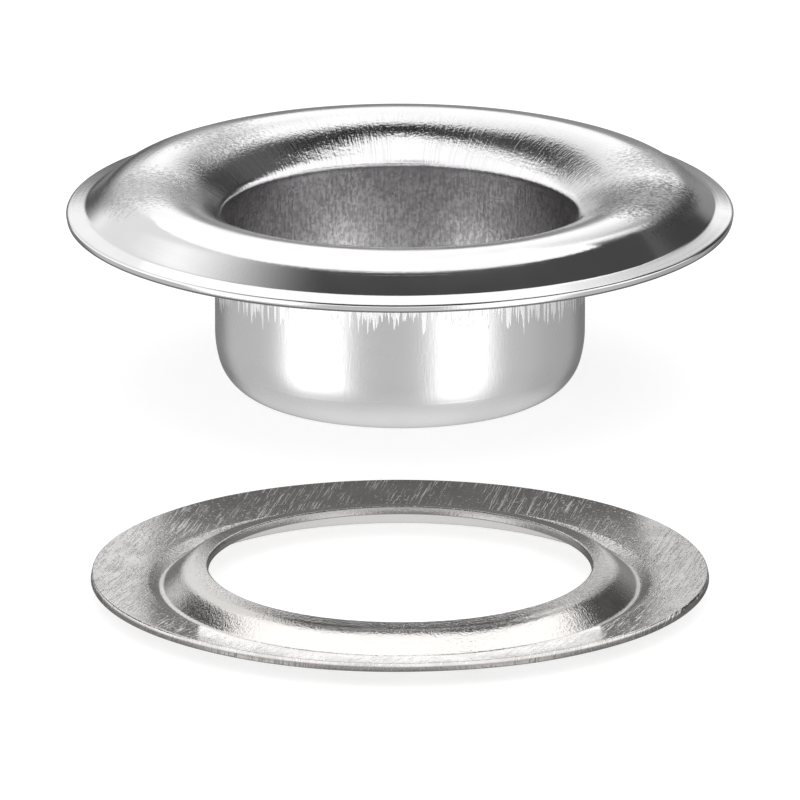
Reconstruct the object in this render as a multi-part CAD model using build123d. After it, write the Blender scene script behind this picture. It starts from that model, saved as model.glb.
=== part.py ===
from build123d import *
import math
import os

# A grommet in its two pressed halves, both of thin sheet metal.
# The eyelet stands on the end of its barrel, and the washer lies in front of it, groove down.
# The origin is on the eyelet's axis, level with the lowest edge of the flange's lip, which
# bears on the cloth. Lengths are in millimetres, angles in degrees, and the radius of a
# bend in the sheet is the one on its hollow side. Where the sheet is creased more tightly
# than it is thick, round the dome's flank and in the washer's groove, the bend is sharp.

# Sheet that both halves are pressed from
sheet_thickness = 0.3

# Eyelet, across
bore_diameter = 12.7
flange_diameter = 24.0
lip_width = 0.85

# Eyelet, heights
dome_height = 1.15
barrel_length = 6.2

# Eyelet, upper face of the flange
lip_droop = 10.5
flank_slope = 43.0
crown_slope = 16.0
throat_slope = 40.0
throat_radius = 0.2

# Eyelet, lower end of the barrel: a drafted wall, then a bend inward to the pierced edge
draft_height = 2.0
draft_angle = 10.0
end_radius = 0.8
end_slope = 35.0

# Washer, across: rings counted outward from its hole, which clears the barrel
barrel_clearance = 0.05
ridge_width = 0.8
ridge_flank_width = 0.77
groove_floor_width = 0.15
groove_wall_width = 0.35
washer_diameter = 21.6

# Washer, heights of the upper face above the floor of its groove
hole_edge_height = 0.8
ridge_height = 0.69
crease_height = 0.19

# Washer, form of the upper face
ridge_radius = 0.6
dish_slope = 10.5

# Space between the two halves as they are set out
layout_gap = 2.4

bore_radius = bore_diameter / 2
barrel_radius = bore_radius + sheet_thickness
flange_radius = flange_diameter / 2
washer_radius = washer_diameter / 2
washer_hole_radius = barrel_radius + barrel_clearance


def sine(angle):
    return math.sin(math.radians(angle))


def cosine(angle):
    return math.cos(math.radians(angle))


def tangent(angle):
    return math.tan(math.radians(angle))


# Radius of the face line where the sheet bends away from it.
def outside(bend_radius):
    return bend_radius + sheet_thickness


# Lines and arcs in the section plane, each going on where the last one ends. A stretch is
# a straight length and then a turn to the left, bent to a radius or, with none, creased.
def section_chain(start, heading, stretches):
    chain = []
    point = Vector(*start)
    for length, radius, turn in stretches:
        direction = Vector(cosine(heading), sine(heading))
        if length > 0:
            chain.append(Line(point, point + direction * length))
            point = chain[-1] @ 1
        if radius > 0:
            chain.append(JernArc(point, direction, radius, turn))
            point = chain[-1] @ 1
        heading += turn
    return Curve() + chain


# The sheet's section: its face line with the thickness laid under it, on the right.
def sheet_section(face_line):
    outline = offset(
        face_line, amount=sheet_thickness, kind=Kind.INTERSECTION, side=Side.RIGHT
    )
    return make_face(outline)


def turned(section):
    return revolve(Plane.XZ * section, axis=Axis.Z)


# Radius of the crown's face, at which throat, crown, flank and lip together reach from the
# bore to the flange's edge.
def crown_face_radius(throat_bend, dome_fall):
    throat_share = throat_bend * (1 - sine(throat_slope))
    flank_share = dome_fall / tangent(flank_slope)
    crown_width = flange_radius - bore_radius - throat_share - flank_share - lip_width
    width_per_radius = (
        sine(throat_slope) + sine(crown_slope) - (1 - cosine(crown_slope)) / tangent(flank_slope)
    )
    return crown_width / width_per_radius


# One drawn piece. Its face line goes from the pierced edge up the bore, by a tight bend into
# the throat and one wide arc over the crown, and down the steep flank to the lip.
def make_eyelet():
    lip_fall = lip_width * tangent(lip_droop)
    throat_bend = outside(throat_radius)
    crown_bend = crown_face_radius(throat_bend, dome_height - lip_fall)
    flank_fall = dome_height - lip_fall - crown_bend * (1 - cosine(crown_slope))
    crest_level = dome_height + sheet_thickness * cosine(lip_droop)
    wall_top = crest_level - crown_bend + (crown_bend - throat_bend) * cosine(throat_slope)

    draft_slope = 90 - draft_angle
    bend_width = end_radius * (sine(draft_slope) - sine(end_slope))
    bend_height = end_radius * (cosine(end_slope) - cosine(draft_slope))
    end_width = bend_width + draft_height * tangent(draft_angle)
    pierced_level = sheet_thickness * cosine(end_slope) - barrel_length
    straight_wall = wall_top - pierced_level - bend_height - draft_height

    stretches = [
        (0, end_radius, draft_slope - end_slope),
        (draft_height / cosine(draft_angle), 0, draft_angle),
        (straight_wall, throat_bend, throat_slope - 90),
        (0, crown_bend, -throat_slope - crown_slope),
        (0, 0, crown_slope - flank_slope),
        (flank_fall / sine(flank_slope), 0, flank_slope - lip_droop),
        (lip_width / cosine(lip_droop), 0, 0),
    ]
    pierced_edge = (bore_radius - end_width, pierced_level)
    return turned(sheet_section(section_chain(pierced_edge, end_slope, stretches)))


# One pressed piece: ridge round the hole, groove, crease, and a dish that rises to the rim.
# The face line starts one thickness inside the hole, which is then pierced straight through.
def make_washer():
    ridge_fall = (hole_edge_height - ridge_height) / ridge_width
    blank_edge = (
        washer_hole_radius - sheet_thickness,
        hole_edge_height + ridge_fall * sheet_thickness,
    )
    ridge = (washer_hole_radius + ridge_width, ridge_height)
    groove = (ridge[0] + ridge_flank_width, 0)
    groove_wall = (groove[0] + groove_floor_width, 0)
    crease = (groove_wall[0] + groove_wall_width, crease_height)
    rim_radius = washer_radius - sheet_thickness * sine(dish_slope)
    rim = (rim_radius, crease_height + (rim_radius - crease[0]) * tangent(dish_slope))
    ridge_line = FilletPolyline(blank_edge, ridge, groove, radius=outside(ridge_radius))
    face_line = Curve() + [ridge_line, Polyline(groove, groove_wall, crease, rim)]
    pierced = Rectangle(washer_hole_radius, washer_diameter, align=(Align.MIN, Align.CENTER))
    return turned(sheet_section(face_line) - pierced)


# The washer's centre, in front of the eyelet and on the level that its barrel stands on.
def washer_place(washer):
    distance = flange_radius + layout_gap + washer_radius
    return Pos(0, -distance, -barrel_length - washer.bounding_box().min.Z)


eyelet = make_eyelet()
washer = make_washer()
nodes = {"eyelet": eyelet, "washer": washer_place(washer) * washer}

os.makedirs("parts", exist_ok=True)
for name, solid in nodes.items():
    solid.label = name
    export_step(solid, f"parts/{name}.step")
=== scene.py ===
import bpy
import math
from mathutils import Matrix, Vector, noise
from types import SimpleNamespace


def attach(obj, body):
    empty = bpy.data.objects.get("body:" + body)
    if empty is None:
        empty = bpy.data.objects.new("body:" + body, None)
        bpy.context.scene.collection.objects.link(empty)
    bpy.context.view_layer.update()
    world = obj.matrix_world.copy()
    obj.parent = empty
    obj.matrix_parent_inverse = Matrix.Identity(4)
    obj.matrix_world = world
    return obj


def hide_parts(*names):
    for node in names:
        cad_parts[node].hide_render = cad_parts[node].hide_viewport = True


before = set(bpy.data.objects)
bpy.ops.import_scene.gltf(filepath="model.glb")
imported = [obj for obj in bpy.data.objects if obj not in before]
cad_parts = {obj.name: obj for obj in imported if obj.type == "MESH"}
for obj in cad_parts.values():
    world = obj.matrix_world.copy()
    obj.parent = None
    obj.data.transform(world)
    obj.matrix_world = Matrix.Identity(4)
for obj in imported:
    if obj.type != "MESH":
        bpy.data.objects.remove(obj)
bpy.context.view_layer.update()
print("frame loaded")

mm = 0.001


def addNode(tree, kind, **settings):
    node = tree.nodes.new(kind)
    for name, value in settings.items():
        setattr(node, name, value)
    return node


def feed(tree, value, socket):
    if isinstance(value, bpy.types.NodeSocket):
        tree.links.new(value, socket)
    else:
        socket.default_value = value


def maths(tree, operation, *values):
    node = addNode(tree, "ShaderNodeMath", operation=operation)
    for value, socket in zip(values, node.inputs):
        feed(tree, value, socket)
    return node.outputs[0]


def times(tree, first, *others):
    for other in others:
        first = maths(tree, "MULTIPLY", first, other)
    return first


def plus(tree, first, *others):
    for other in others:
        first = maths(tree, "ADD", first, other)
    return first


def remap(tree, value, lowIn, highIn, lowOut=0.0, highOut=1.0):
    node = addNode(tree, "ShaderNodeMapRange", interpolation_type="SMOOTHSTEP")
    for socket, given in zip(node.inputs, (value, lowIn, highIn, lowOut, highOut)):
        feed(tree, given, socket)
    return node.outputs[0]


def mixValue(tree, amount, first, second):
    return plus(tree, first, times(tree, amount, maths(tree, "SUBTRACT", second, first)))


# The mix node has sockets of several types under the same labels, so its colour ones go by number
def blendColour(tree, amount, first, second):
    node = addNode(tree, "ShaderNodeMix", data_type="RGBA", blend_type="MIX")
    feed(tree, amount, node.inputs["Factor"])
    feed(tree, first, node.inputs[6])
    feed(tree, second, node.inputs[7])
    return node.outputs[2]


def splitXyz(tree, vector):
    node = addNode(tree, "ShaderNodeSeparateXYZ")
    feed(tree, vector, node.inputs[0])
    return node.outputs


def joinXyz(tree, x, y, z):
    node = addNode(tree, "ShaderNodeCombineXYZ")
    for value, socket in zip((x, y, z), node.inputs):
        feed(tree, value, socket)
    return node.outputs[0]


def noiseValue(tree, vector, scale, detail=2.0, roughness=0.5):
    node = addNode(tree, "ShaderNodeTexNoise")
    feed(tree, vector, node.inputs["Vector"])
    feed(tree, scale, node.inputs["Scale"])
    node.inputs["Detail"].default_value = detail
    node.inputs["Roughness"].default_value = roughness
    return node.outputs["Fac"]


def bump(tree, height, distance, strength=1.0, normal=None):
    node = addNode(tree, "ShaderNodeBump")
    node.inputs["Strength"].default_value = strength
    node.inputs["Distance"].default_value = distance
    feed(tree, height, node.inputs["Height"])
    if normal is not None:
        feed(tree, normal, node.inputs["Normal"])
    return node.outputs["Normal"]


def newGroup(name, inputs, outputs):
    tree = bpy.data.node_groups.new(name, "ShaderNodeTree")
    for label, value in inputs.items():
        socket = tree.interface.new_socket(label, in_out="INPUT", socket_type="NodeSocketFloat")
        socket.default_value = value
    for label in outputs:
        tree.interface.new_socket(label, in_out="OUTPUT", socket_type="NodeSocketFloat")
    return tree, addNode(tree, "NodeGroupInput"), addNode(tree, "NodeGroupOutput")


def placeGroup(tree, group, **values):
    node = addNode(tree, "ShaderNodeGroup", node_tree=group)
    for label, value in values.items():
        feed(tree, value, node.inputs[label])
    return node


def lengthOf(tree, x, y):
    return maths(tree, "SQRT", plus(tree, times(tree, x, x), times(tree, y, y)))


# Where a point of the piece is, in millimetres: its coordinates, its distance from the axis and
# the direction (ux, uy) that it lies in
def placeOnPiece(tree):
    scaled = addNode(tree, "ShaderNodeVectorMath", operation="SCALE")
    feed(tree, addNode(tree, "ShaderNodeTexCoord").outputs["Object"], scaled.inputs[0])
    scaled.inputs["Scale"].default_value = 1 / mm
    position = scaled.outputs[0]
    x, y, z = splitXyz(tree, position)
    radius = lengthOf(tree, x, y)
    divisor = maths(tree, "MAXIMUM", radius, 0.01)
    ux = maths(tree, "DIVIDE", x, divisor)
    uy = maths(tree, "DIVIDE", y, divisor)
    return SimpleNamespace(position=position, x=x, y=y, z=z, radius=radius, ux=ux, uy=uy)


# Fine marks that the punch and die draw out of the throat and along the barrel
def makeDrawStreaks():
    tree, given, result = newGroup(
        "drawStreaks",
        {"Density": 60.0, "Stretch": 0.35, "Threshold": 0.5, "Softness": 0.15},
        ["Streak", "Height"],
    )
    density, stretch, threshold, softness = given.outputs[:4]
    at = placeOnPiece(tree)
    along = times(tree, maths(tree, "SUBTRACT", at.radius, at.z), stretch)
    vector = joinXyz(tree, times(tree, at.ux, density), times(tree, at.uy, density), along)
    height = noiseValue(tree, vector, 1.0, 2.0, 0.6)
    streak = remap(tree, height, threshold, plus(tree, threshold, softness))
    feed(tree, streak, result.inputs["Streak"])
    feed(tree, height, result.inputs["Height"])
    return tree


# Faint circles left by spinning in the tool
def makeTurnedRings():
    tree, given, result = newGroup("turnedRings", {"Density": 7.0, "Wander": 0.6}, ["Ring"])
    density, wander = given.outputs[:2]
    at = placeOnPiece(tree)
    across = times(tree, maths(tree, "SUBTRACT", at.radius, at.z), density)
    vector = joinXyz(tree, times(tree, at.ux, wander), times(tree, at.uy, wander), across)
    feed(tree, noiseValue(tree, vector, 1.0, 3.0, 0.6), result.inputs["Ring"])
    return tree


# Grain of the plating: fine orange peel, single bright specks and wide clouds
def makePlateGrain():
    tree, given, result = newGroup(
        "plateGrain", {"Scale": 9.0, "SpeckScale": 8.0}, ["Grain", "Speck", "Cloud"]
    )
    scale, speckScale = given.outputs[:2]
    at = placeOnPiece(tree)
    feed(tree, noiseValue(tree, at.position, scale, 2.0, 0.6), result.inputs["Grain"])
    specks = noiseValue(tree, at.position, speckScale, 1.0, 0.5)
    feed(tree, remap(tree, specks, 0.62, 0.74), result.inputs["Speck"])
    feed(tree, noiseValue(tree, at.position, 0.55, 3.0, 0.55), result.inputs["Cloud"])
    return tree


# Long fine scratches from tumbling with other pieces, all near one direction
def makeScratches():
    tree, given, result = newGroup(
        "tumbleScratches", {"Turn": 0.8, "Density": 9.0, "Stretch": 0.35, "Threshold": 0.62}, ["Scratch"]
    )
    turn, density, stretch, threshold = given.outputs[:4]
    at = placeOnPiece(tree)
    cosine = maths(tree, "COSINE", turn)
    sine = maths(tree, "SINE", turn)
    along = plus(tree, times(tree, at.x, cosine), times(tree, at.y, sine))
    across = maths(tree, "SUBTRACT", times(tree, at.y, cosine), times(tree, at.x, sine))
    vector = joinXyz(tree, times(tree, along, stretch), times(tree, across, density), at.z)
    streak = noiseValue(tree, vector, 1.0, 2.0, 0.7)
    feed(tree, remap(tree, streak, threshold, plus(tree, threshold, 0.1)), result.inputs["Scratch"])
    return tree


effects = {
    "streaks": makeDrawStreaks(),
    "rings": makeTurnedRings(),
    "grain": makePlateGrain(),
    "scratches": makeScratches(),
}
print("shared effects built")


# A bare metal material, with its tree and its shader
def newMetal(name):
    material = bpy.data.materials.new(name)
    material.use_nodes = True
    tree = material.node_tree
    shader = tree.nodes["Principled BSDF"]
    shader.inputs["Metallic"].default_value = 1
    return material, tree, shader


# Samples (radius, height, heading) along a line of straight runs whose corners are bent
def bendLine(corners, spacing):
    samples = []
    last = len(corners) - 1
    for index, (radius, height, bend) in enumerate(corners):
        here = Vector((radius, height))
        if index in (0, last):
            other = corners[1] if index == 0 else corners[last - 1]
            away = Vector(other[:2]) - here
            heading = math.atan2(away.y, away.x) if index == 0 else math.atan2(-away.y, -away.x)
            samples.append((here, heading))
            continue
        before = Vector(corners[index - 1][:2]) - here
        after = Vector(corners[index + 1][:2]) - here
        headingIn = math.atan2(-before.y, -before.x)
        headingOut = math.atan2(after.y, after.x)
        turn = headingOut - headingIn
        reach = bend * math.tan(abs(turn) / 2)
        start = here + before.normalized() * reach
        side = 1 if turn > 0 else -1
        centre = start + Vector((-math.sin(headingIn), math.cos(headingIn))) * bend * side
        steps = max(4, math.ceil(abs(turn) * bend / spacing))
        for step in range(steps + 1):
            heading = headingIn + turn * step / steps
            outward = Vector((math.sin(heading), -math.cos(heading))) * side
            samples.append((centre + outward * bend, heading))
    filled = [samples[0]]
    for point, heading in samples[1:]:
        gap = (point - filled[-1][0]).length
        pieces = max(1, math.ceil(gap / spacing))
        start, startHeading = filled[-1]
        for step in range(1, pieces + 1):
            part = step / pieces
            filled.append((start.lerp(point, part), startHeading + (heading - startHeading) * part))
    return filled


# Closed section of the sheet: face, rounded cut edge, back, rounded cut edge
def sheetSection(corners, form):
    thickness = form["thickness"]
    faceRound = form["faceRound"]
    backRound = form["backRound"]
    line = bendLine(corners, form["spacing"])

    def normalOf(heading):
        return Vector((math.sin(heading), -math.cos(heading)))

    def paintedEdgeShade(point, heading, outward):
        ahead = Vector((math.cos(heading), math.sin(heading))) * outward
        down = normalOf(heading)
        edge = []
        for centre, size, first, second in (
            (point + down * faceRound, faceRound, -down, ahead),
            (point + down * (thickness - backRound), backRound, ahead, down),
        ):
            inset = centre - ahead * size
            for step in range(5):
                angle = math.radians(22.5 * step)
                edge.append(inset + (first * math.cos(angle) + second * math.sin(angle)) * size)
        return edge

    keep = max(faceRound, backRound)
    ends = (line[0][0], line[-1][0])
    inner = [
        (point, heading)
        for point, heading in line[1:-1]
        if all((point - end).length > keep for end in ends)
    ]
    face = [point for point, heading in inner]
    back = [point + normalOf(heading) * thickness for point, heading in inner]
    outerEdge = paintedEdgeShade(*line[-1], 1)
    innerEdge = paintedEdgeShade(*line[0], -1)
    return face + outerEdge + back[::-1] + innerEdge[::-1]


# Unevenness from the press: how fast it varies round and along the section, a shift that sets
# the rise apart from the widening, and one that keeps nearly all of it inside the solid's box
wavesRound = 2.2
wavesAlong = 0.25
otherWave = Vector((7, 3, 1))
inwardShift = 0.6


# Turns the section, with that unevenness, and makes it an object
def turnSection(name, section, form):
    steps = form["steps"]
    count = len(section)
    vertices = []
    for step in range(steps):
        angle = 2 * math.pi * step / steps
        direction = Vector((math.cos(angle), math.sin(angle)))
        acrossX = direction.x * wavesRound
        acrossY = direction.y * wavesRound
        for radius, height in section:
            spot = Vector((acrossX, acrossY, (radius + height) * wavesAlong + form["seed"]))
            out = 1 + form["waveOut"] * (noise.noise(spot) - inwardShift) / radius
            rimShare = max(0.0, (radius - form["waveFrom"]) / form["waveOver"])
            rise = form["waveUp"] * (noise.noise(spot + otherWave) - inwardShift) * rimShare
            reach = radius * out * mm
            vertices.append((direction.x * reach, direction.y * reach, (height + rise) * mm))
    faces = []
    for step in range(steps):
        here = step * count
        beyond = (step + 1) % steps * count
        for index in range(count):
            follow = (index + 1) % count
            faces.append((here + index, here + follow, beyond + follow, beyond + index))
    mesh = bpy.data.meshes.new(name)
    mesh.from_pydata(vertices, [], faces)
    mesh.validate()
    mesh.polygons.foreach_set("use_smooth", [True] * len(mesh.polygons))
    piece = bpy.data.objects.new(name, mesh)
    bpy.context.scene.collection.objects.link(piece)
    return piece


eyeletForm = {
    "corners": (  # radius, height and bend of the upper face, in millimetres
        (5.45, -5.93, 0),
        (6.06, -5.70, 1.25),
        (6.35, -4.6, 3.5),
        (6.35, 0.24, 0.5),
        (8.10, 1.667, 3.65),
        (10.28, 1.30, 1.5),
        (11.30, 0.4275, 0.25),
        (12.0, 0.295, 0),
    ),
    "thickness": 0.3,
    "faceRound": 0.09,
    "backRound": 0.05,
    "spacing": 0.13,
    "steps": 320,
    "waveOut": 0.015,
    "waveUp": 0.02,
    "waveFrom": 9.5,
    "waveOver": 2.5,
    "seed": 1.7,
    # radii and heights between which each look comes in
    "throatRadius": (9.2, 7.6),
    "throatHeight": (-0.5, 0.4),
    "wallRadius": (7.2, 6.5),
    "barrelRadius": (6.5, 6.56),
    "barrelTop": (0.0, -0.5),
    "barrelEnd": (-4.6, -5.4),
    "boreRadius": (6.52, 6.44),
    "boreTop": (0.3, -0.3),
    "boreEnd": (-4.5, -4.0),
    "cutEdgeRadius": (11.86, 11.92),
    "cutEdgeHeight": (0.1, 0.06),
    "crownHeight": (0.7, 1.1),
    "ringsRadius": (8.0, 9.5),
    "teethReach": (-1.3, -3.6, 0.46, 0.95),  # two heights, and how rare the teeth are there
    "teethShorter": 0.8,  # how much shorter they are at the sides
    "plate": (0.747, 0.742, 0.75, 1),
    "worn": (0.57, 0.565, 0.572, 1),
    "drawn": (0.97, 0.97, 0.975, 1),
    # painted shade: near-black colour for the shadowed lower part of the lip's cut edge
    "paintedEdgeShade": (0.2, 0.2, 0.21, 1),
    # painted shade: near-black colour for the dark patches on the crown
    "paintedShade": (0.14, 0.138, 0.14, 1),
    "bore": (0.6, 0.59, 0.595, 1),
    "boreFleck": (0.36, 0.35, 0.355, 1),
    "paintedShadePlaces": (  # x, y, radius and strength of the patches of painted shade on the crown
        (9.2, -2.4, 3.4, 1.0),
        (-9.3, -1.0, 3.0, 0.6),
        (-7.6, 6.4, 3.0, 0.6),
        (9.7, 2.6, 2.4, 0.6),
    ),
    "roughness": (0.1, 0.15),  # from one end of the clouds to the other
    "rougher": {"paintedShade": 0.3, "barrel": 0.16, "bore": 0.14, "drawn": 0.25},
    "relief": {"peel": 0.00001, "rings": 0.000008, "lines": 0.000014, "teeth": 0.00002},  # metres
}


# Patches of painted shade on the crown, standing in for dark reflections, each with a ragged outline
def paintedShadePatches(tree, at, grain):
    paintedShade = 0.0
    ragged = remap(tree, grain, 0.3, 0.7, -0.6, 0.6)
    for placeX, placeY, reach, strength in eyeletForm["paintedShadePlaces"]:
        offX = maths(tree, "SUBTRACT", at.x, placeX)
        offY = maths(tree, "SUBTRACT", at.y, placeY)
        apart = plus(tree, lengthOf(tree, offX, offY), ragged)
        paintedShade = maths(tree, "MAXIMUM", paintedShade, remap(tree, apart, reach, reach * 0.3, 0.0, strength))
    crown = remap(tree, at.z, *eyeletForm["crownHeight"])
    return times(tree, paintedShade, crown, remap(tree, grain, 0.3, 0.65, 1.0, 0.6))


def makeEyeletPlate():
    material, tree, shader = newMetal("eyeletPlate")
    form = eyeletForm
    lines = placeGroup(tree, effects["streaks"], Density=80.0, Stretch=2.2, Threshold=0.5, Softness=0.2)
    teeth = placeGroup(tree, effects["streaks"], Density=44.0, Stretch=0.2)
    rings = placeGroup(tree, effects["rings"], Density=7.0, Wander=0.7)
    plating = placeGroup(tree, effects["grain"], Scale=7.5)
    grain = plating.outputs["Grain"]
    cloud = plating.outputs["Cloud"]
    lineHeight = lines.outputs["Height"]
    at = placeOnPiece(tree)

    def within(value, name):
        return remap(tree, value, *form[name])

    # where the sheet is: throat, bore wall, outside of the barrel, and the cut edge of the lip, which
    # gets painted shade
    throat = times(tree, within(at.radius, "throatRadius"), within(at.z, "throatHeight"))
    wall = within(at.radius, "wallRadius")
    outside = times(tree, within(at.radius, "barrelRadius"), wall)
    barrel = maths(tree, "MAXIMUM", outside, within(at.z, "barrelEnd"))
    barrel = times(tree, barrel, within(at.z, "barrelTop"))
    bore = times(tree, within(at.radius, "boreRadius"), within(at.z, "boreTop"), within(at.z, "boreEnd"))
    paintedEdgeShade = times(tree, within(at.radius, "cutEdgeRadius"), within(at.z, "cutEdgeHeight"))

    # teeth of brighter metal that hang from the lip, shorter towards the sides
    sideways = times(tree, at.ux, at.ux, form["teethShorter"])
    rarity = remap(tree, plus(tree, at.z, sideways), *form["teethReach"])
    drawn = remap(tree, maths(tree, "SUBTRACT", teeth.outputs["Height"], rarity), 0.0, 0.05)
    drawn = times(tree, drawn, barrel)
    # painted shade: dark patches on the crown, which are also made rougher and less peeled
    paintedShade = paintedShadePatches(tree, at, grain)

    colour = blendColour(tree, remap(tree, cloud, 0.35, 0.7, 0.0, 0.15), form["plate"], form["worn"])
    colour = blendColour(tree, times(tree, lines.outputs["Streak"], 0.4, throat), colour, form["worn"])
    flecks = remap(tree, times(tree, grain, lineHeight), 0.14, 0.36)
    boreColour = blendColour(tree, flecks, form["boreFleck"], form["bore"])
    colour = blendColour(tree, bore, colour, boreColour)
    colour = blendColour(tree, drawn, colour, form["drawn"])
    # painted shade: the lower part of the lip's cut edge is darkened
    colour = blendColour(tree, paintedEdgeShade, colour, form["paintedEdgeShade"])
    # painted shade patches on the crown
    colour = blendColour(tree, paintedShade, colour, form["paintedShade"])
    feed(tree, colour, shader.inputs["Base Color"])

    rough = remap(tree, cloud, 0.3, 0.7, *form["roughness"])
    for name, mask in (("paintedShade", paintedShade), ("barrel", barrel), ("bore", bore), ("drawn", drawn)):
        rough = plus(tree, rough, times(tree, mask, form["rougher"][name]))
    feed(tree, rough, shader.inputs["Roughness"])

    # the peel is deepest in the throat and nearly gone on the barrel and in the bore, where the tool
    # smoothed the sheet, and in the patches of painted shade
    smooth = maths(tree, "MAXIMUM", maths(tree, "MAXIMUM", barrel, bore), paintedShade)
    share = times(tree, remap(tree, throat, 0.0, 1.0, 0.4, 1.6), remap(tree, smooth, 0.0, 1.0, 1.0, 0.15))
    normal = bump(tree, times(tree, grain, share), form["relief"]["peel"], 0.6)
    ringed = times(tree, rings.outputs["Ring"], within(at.radius, "ringsRadius"))
    normal = bump(tree, ringed, form["relief"]["rings"], 0.5, normal)
    drawnOut = times(tree, lineHeight, maths(tree, "MAXIMUM", throat, wall))
    drawnOut = times(tree, drawnOut, remap(tree, barrel, 0.0, 1.0, 1.0, 0.3))
    normal = bump(tree, drawnOut, form["relief"]["lines"], 0.7, normal)
    normal = bump(tree, drawn, form["relief"]["teeth"], 0.5, normal)
    feed(tree, normal, shader.inputs["Normal"])
    return material


def makeEyelet():
    piece = turnSection("eyeletShell", sheetSection(eyeletForm["corners"], eyeletForm), eyeletForm)
    piece.data.materials.append(makeEyeletPlate())
    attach(piece, "root")
    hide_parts("eyelet")
    print("eyelet built:", len(piece.data.polygons), "faces")


washerForm = {
    "corners": (  # as the eyelet's, above the floor of the groove
        (6.72, 0.797, 0),
        (7.5, 0.69, 0.9),
        (8.27, 0.0, 0.2),
        (8.42, 0.0, 0.2),
        (8.77, 0.19, 0.36),
        (10.745, 0.556, 0),
    ),
    "centre": (0, -25.2, -5.9),
    "thickness": 0.3,
    "faceRound": 0.07,
    "backRound": 0.05,
    "spacing": 0.1,
    "steps": 320,
    "waveOut": 0.015,
    "waveUp": 0.02,
    "waveFrom": 8.5,
    "waveOver": 3.0,
    "seed": 5.1,
    # radii and heights between which each look comes in
    "dishRadius": (8.6, 8.9),
    "holeRadius": (6.74, 6.71, 0.0, 0.85),  # the hole's cut wall is 0.85 of the way to the painted edge shade
    "cutEdgeRadius": (10.68, 10.74),
    "cutEdgeHeight": (0.47, 0.4),
    "plate": (0.70, 0.678, 0.662, 1),
    "worn": (0.58, 0.56, 0.548, 1),
    "scratched": (0.88, 0.87, 0.86, 1),
    # painted shade: dark colour for the rim's cut edge and the hole's cut wall
    "paintedEdgeShade": (0.25, 0.24, 0.235, 1),
    "roughness": (0.15, 0.23),
    "rougherMarks": 0.42,
    "relief": {"grain": 0.00001, "rings": 0.000008, "marks": 0.00002},  # metres
}


def makeWasherPlate():
    material, tree, shader = newMetal("washerPlate")
    form = washerForm
    rings = placeGroup(tree, effects["rings"], Density=6.0, Wander=1.2)
    plating = placeGroup(tree, effects["grain"], Scale=11.0)
    scratches = placeGroup(
        tree, effects["scratches"], Turn=1.29, Density=17.0, Stretch=0.75, Threshold=0.54
    )
    cloud = plating.outputs["Cloud"]
    at = placeOnPiece(tree)

    def within(value, name):
        return remap(tree, value, *form[name])

    # scratches gather in patches on the dish
    dish = within(at.radius, "dishRadius")
    patches = remap(tree, noiseValue(tree, at.position, 0.33, 1.0), 0.38, 0.52)
    scratched = times(tree, scratches.outputs["Scratch"], dish, patches)
    specks = times(tree, plating.outputs["Speck"], dish, 0.8)
    marks = maths(tree, "MAXIMUM", scratched, specks)
    paintedEdgeShade = times(tree, within(at.radius, "cutEdgeRadius"), within(at.z, "cutEdgeHeight"))

    worn = times(tree, remap(tree, cloud, 0.38, 0.62), dish)
    colour = blendColour(tree, worn, form["plate"], form["worn"])
    colour = blendColour(tree, marks, colour, form["scratched"])
    # painted shade on the lower part of the rim's cut edge and on the hole's cut wall
    colour = blendColour(tree, paintedEdgeShade, colour, form["paintedEdgeShade"])
    colour = blendColour(tree, within(at.radius, "holeRadius"), colour, form["paintedEdgeShade"])
    feed(tree, colour, shader.inputs["Base Color"])

    rough = remap(tree, cloud, 0.3, 0.7, *form["roughness"])
    rough = plus(tree, rough, times(tree, marks, form["rougherMarks"]))
    feed(tree, rough, shader.inputs["Roughness"])

    mottled = times(tree, plating.outputs["Grain"], remap(tree, dish, 0.0, 1.0, 2.4, 0.9))
    normal = bump(tree, mottled, form["relief"]["grain"], 0.6)
    normal = bump(tree, rings.outputs["Ring"], form["relief"]["rings"], 0.5, normal)
    normal = bump(tree, marks, form["relief"]["marks"], 0.7, normal)
    feed(tree, normal, shader.inputs["Normal"])
    return material


def makeWasher():
    piece = turnSection("washerRing", sheetSection(washerForm["corners"], washerForm), washerForm)
    piece.location = Vector(washerForm["centre"]) * mm
    piece.data.materials.append(makeWasherPlate())
    piece.visible_glossy = False  # the halves don't mirror each other
    bpy.context.view_layer.update()
    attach(piece, "root")
    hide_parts("washer")
    print("washer built:", len(piece.data.polygons), "faces")


makeEyelet()
makeWasher()


studio = {
    "floorLevel": -6.2 * mm,
    "floorHalf": 0.6,
    "floorColour": (0.5, 0.5, 0.5, 1),
    "floorGlow": 0.62,
    "daylight": 1.1,
    "target": (0, -12.6 * mm, -3.0 * mm),
    "distance": 0.8,
    "elevation": 17.0,
    "frameWidth": 28.3 * mm,
    "white": 1.38,  # what the metal mirrors overhead and on all sides
    "horizon": (3, -7),  # elevations between which it gives way to what lies below
    "below": (-20, -80, 0.62, 0.95),  # two elevations, and the levels there
    "flagHeight": 5.0,  # of the eyelet's flags, in millimetres as for all flags
}

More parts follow.
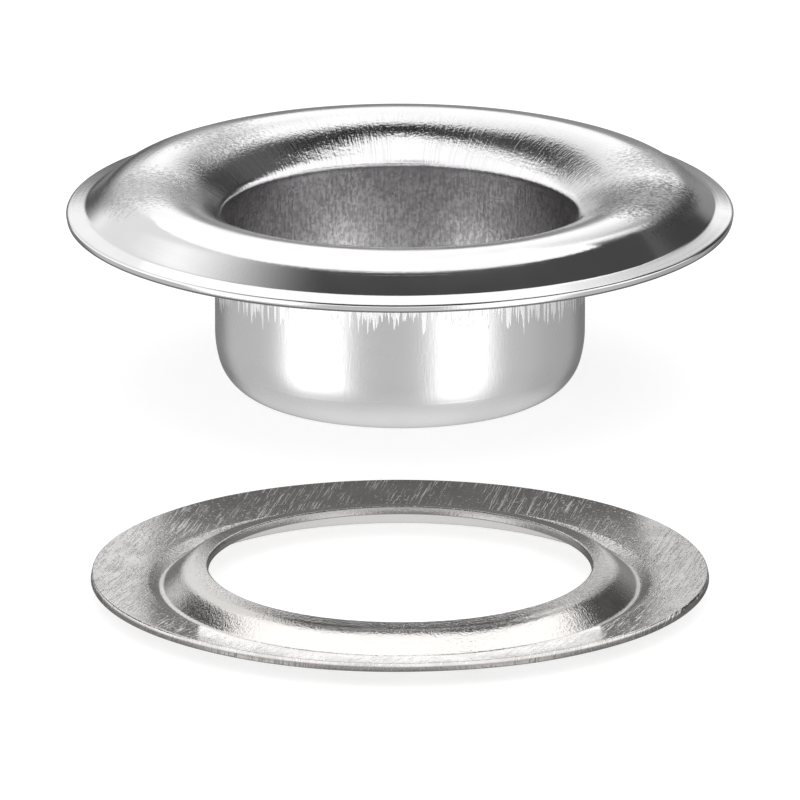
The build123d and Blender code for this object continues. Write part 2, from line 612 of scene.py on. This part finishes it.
# Soft boxes and dark gaps that only the metal mirrors: bearing from the camera's side,
# elevation, half width, half height and softness in degrees, and brightness
lightPatches = (
    (-55, -16, 20, 17, 9, 2.2),  # left soft box, low in front
    (40, -18, 18, 21, 11, 2.0),  # right soft box, low in front
    (131, -17, 34, 20, 12, 0.5),  # dim floor at the back right
    (-10, 34, 12, 13, 12, 0.8),  # grey above the camera
    (-150, 36, 22, 22, 12, 0.98),  # grey wall at the back left, for the crown
    (166, 27, 7, 8, 8, 0.45),  # dim patch at the back, for the crown's right
    (129, 48, 26, 26, 8, 0.12),  # gap on the right
    (168, 66.5, 60, 9.5, 5, 0.03),  # gap in the ceiling, behind
    (142, 12, 22, 19, 6, 0.06),  # gap low at the back right
    (180, 4, 27, 9, 6, 0.3),  # dark horizon behind
    (-163, 0, 14, 6, 5, 0.1),  # its darker part at the back left
    (180, -18, 40, 14, 10, 0.22),  # dark floor behind
)


def makeFloor():
    half = studio["floorHalf"]
    outline = ((-half, -half), (half, -half), (half, half), (-half, half))
    corners = [(x, y, studio["floorLevel"]) for x, y in outline]
    mesh = bpy.data.meshes.new("studioFloor")
    mesh.from_pydata(corners, [], [(0, 1, 2, 3)])
    floor = bpy.data.objects.new("studioFloor", mesh)
    bpy.context.scene.collection.objects.link(floor)
    material = bpy.data.materials.new("paleFloor")
    material.use_nodes = True
    shader = material.node_tree.nodes["Principled BSDF"]
    shader.inputs["Base Color"].default_value = studio["floorColour"]
    shader.inputs["Roughness"].default_value = 0.9
    shader.inputs["Emission Color"].default_value = (1, 1, 1, 1)
    shader.inputs["Emission Strength"].default_value = studio["floorGlow"]
    mesh.materials.append(material)
    floor.visible_glossy = False  # the metal mirrors the world's lower half instead


# A soft-edged patch of the sky, 1 within it and 0 beyond its softness
def patchMask(tree, x, y, elevation, patch):
    bearing, rise, halfWidth, halfHeight, softness = patch
    sine = math.sin(math.radians(bearing))
    cosine = math.cos(math.radians(bearing))
    across = plus(tree, times(tree, x, cosine), times(tree, y, sine))
    ahead = maths(tree, "SUBTRACT", times(tree, x, sine), times(tree, y, cosine))
    turn = maths(tree, "ABSOLUTE", maths(tree, "DEGREES", maths(tree, "ARCTAN2", across, ahead)))
    lift = maths(tree, "ABSOLUTE", maths(tree, "SUBTRACT", elevation, rise))
    wide = remap(tree, turn, halfWidth + softness, halfWidth - softness)
    high = remap(tree, lift, halfHeight + softness / 2, halfHeight - softness / 2)
    return times(tree, wide, high)


# What the metal mirrors: white walls and ceiling, with the dark gaps between the soft boxes
def makeWorld():
    world = bpy.data.worlds.new("softStudio")
    bpy.context.scene.world = world
    world.use_nodes = True
    tree = world.node_tree
    x, y, z = splitXyz(tree, addNode(tree, "ShaderNodeTexCoord").outputs["Generated"])
    elevation = maths(tree, "DEGREES", maths(tree, "ARCSINE", z))
    below = remap(tree, elevation, *studio["below"])
    level = mixValue(tree, remap(tree, elevation, *studio["horizon"]), studio["white"], below)
    for *patch, brightness in lightPatches:
        level = mixValue(tree, patchMask(tree, x, y, elevation, patch), level, brightness)
    mirrored = addNode(tree, "ShaderNodeLightPath").outputs["Is Glossy Ray"]
    background = tree.nodes["Background"]
    feed(tree, mixValue(tree, mirrored, studio["daylight"], level), background.inputs["Strength"])
    background.inputs["Color"].default_value = (1, 1, 1, 1)


def makeCamera():
    camera = bpy.data.cameras.new("photoCamera")
    holder = bpy.data.objects.new("photoCamera", camera)
    bpy.context.scene.collection.objects.link(holder)
    target = Vector(studio["target"])
    angle = math.radians(studio["elevation"])
    back = Vector((0, -math.cos(angle), math.sin(angle)))
    holder.location = target + back * studio["distance"]
    holder.rotation_mode = "QUATERNION"
    holder.rotation_quaternion = (-back).to_track_quat("-Z", "Y")
    camera.lens = camera.sensor_width * studio["distance"] / studio["frameWidth"]
    camera.clip_start = 0.01
    camera.clip_end = 5
    bpy.context.scene.camera = holder


# A black flag or a white card near the object, seen only in the metal. It can be clear from
# behind, come in between two bearings, or have soft edges over a share of its width
def makeFlag(name, corners, quads, glow, backless=False, fade=None, soft=0.0):
    mesh = bpy.data.meshes.new(name)
    mesh.from_pydata([Vector(corner) * mm for corner in corners], [], quads)
    flag = bpy.data.objects.new(name, mesh)
    bpy.context.scene.collection.objects.link(flag)
    material = bpy.data.materials.new(name)
    material.use_nodes = True
    tree = material.node_tree
    shader = tree.nodes["Principled BSDF"]
    shader.inputs["Base Color"].default_value = (0, 0, 0, 1)
    shader.inputs["Roughness"].default_value = 1
    shader.inputs["Specular IOR Level"].default_value = 0
    shader.inputs["Emission Color"].default_value = (1, 1, 1, 1)
    shader.inputs["Emission Strength"].default_value = glow
    if backless:
        behind = addNode(tree, "ShaderNodeNewGeometry").outputs["Backfacing"]
        feed(tree, maths(tree, "SUBTRACT", 1, behind), shader.inputs["Alpha"])
    if fade:
        at = placeOnPiece(tree)
        bearing = maths(tree, "DEGREES", maths(tree, "ARCTAN2", at.x, times(tree, at.y, -1)))
        feed(tree, remap(tree, bearing, *fade), shader.inputs["Alpha"])
    if soft:
        shares = splitXyz(tree, addNode(tree, "ShaderNodeTexCoord").outputs["Generated"])
        alpha = 1.0
        for share in shares[:2]:
            alpha = times(tree, alpha, remap(tree, share, 0.0, soft), remap(tree, share, 1.0, 1.0 - soft))
        feed(tree, alpha, shader.inputs["Alpha"])
    mesh.materials.append(material)
    flag.visible_camera = False
    flag.visible_diffuse = False
    flag.visible_shadow = False


# Flag along a ring, from one (radius, height) to another and from one bearing to another
def makeRingFlag(name, centreY, near, far, bearings, glow, backless=False, fade=None):
    steps = 24
    start, end = bearings
    corners = []
    for step in range(steps + 1):
        turn = math.radians(start + (end - start) * step / steps)
        for radius, height in (near, far):
            corners.append((math.sin(turn) * radius, centreY - math.cos(turn) * radius, height))
    quads = [(2 * step, 2 * step + 1, 2 * step + 3, 2 * step + 2) for step in range(steps)]
    makeFlag(name, corners, quads, glow, backless, fade)


def makeLevelFlag(name, left, right, front, back, height, glow, soft=0.0):
    outline = ((left, front), (right, front), (right, back), (left, back))
    makeFlag(name, [(x, y, height) for x, y in outline], [(0, 1, 2, 3)], glow, soft=soft)


# Upright flag between the halves that only the washer sees
def makeUprightFlag(name, left, right, low, high, glow):
    y = -13.3
    corners = [(left, y, low), (right, y, low), (right, y, high), (left, y, high)]
    makeFlag(name, corners, [(0, 1, 2, 3)], glow, backless=True)


# Flags and cards for the eyelet's flank, crown and throat
def flagEyelet():
    height = studio["flagHeight"]
    makeRingFlag(
        "flankFlag", 0, (10.6, height), (15.5, height), bearings=(-75, 80), glow=0.07, fade=(-72, -18)
    )
    makeRingFlag(
        "crestCard", 0, (5.2, height), (10.55, height), bearings=(-110, 62), glow=studio["white"]
    )
    makeLevelFlag("throatFlag", 0.4, 5.6, 6.2, 10.2, height, glow=0.06, soft=0.3)


# Flags and cards for the washer's ridge, its rim and the far part of its dish
def flagWasher():
    centreY = washerForm["centre"][1]
    makeLevelFlag("ridgeFlag", -7, 7, -24.5, -12.7, 5.2, glow=0.08)
    sideOutline = ((-11.4, -31), (-11.4, -26.5), (-15.5, -12), (-24, -12), (-20, -31))
    makeFlag("ridgeSideFlag", [(x, y, 0) for x, y in sideOutline], [(0, 1, 2, 3, 4)], glow=0.06)
    makeRingFlag("ridgeCard", centreY, (8.2, 0), (12.6, 0), bearings=(-70, 86), glow=1.5)
    makeRingFlag(
        "rimCard", centreY, (7.95, -5.25), (7.95, -6.1), bearings=(-60, 60), glow=1.3, backless=True
    )
    makeUprightFlag("dishFlag", -7.7, 7.7, -6, -1.2, glow=0.17)
    makeUprightFlag("leftDishCard", -12, -7.8, -4.3, 0, glow=0.95)
    makeUprightFlag("rightDishCard", 7.8, 12, -4.3, 0, glow=0.85)


makeFloor()
makeWorld()
makeCamera()
flagEyelet()
flagWasher()
bpy.context.scene.view_settings.view_transform = "Standard"
print("studio built")
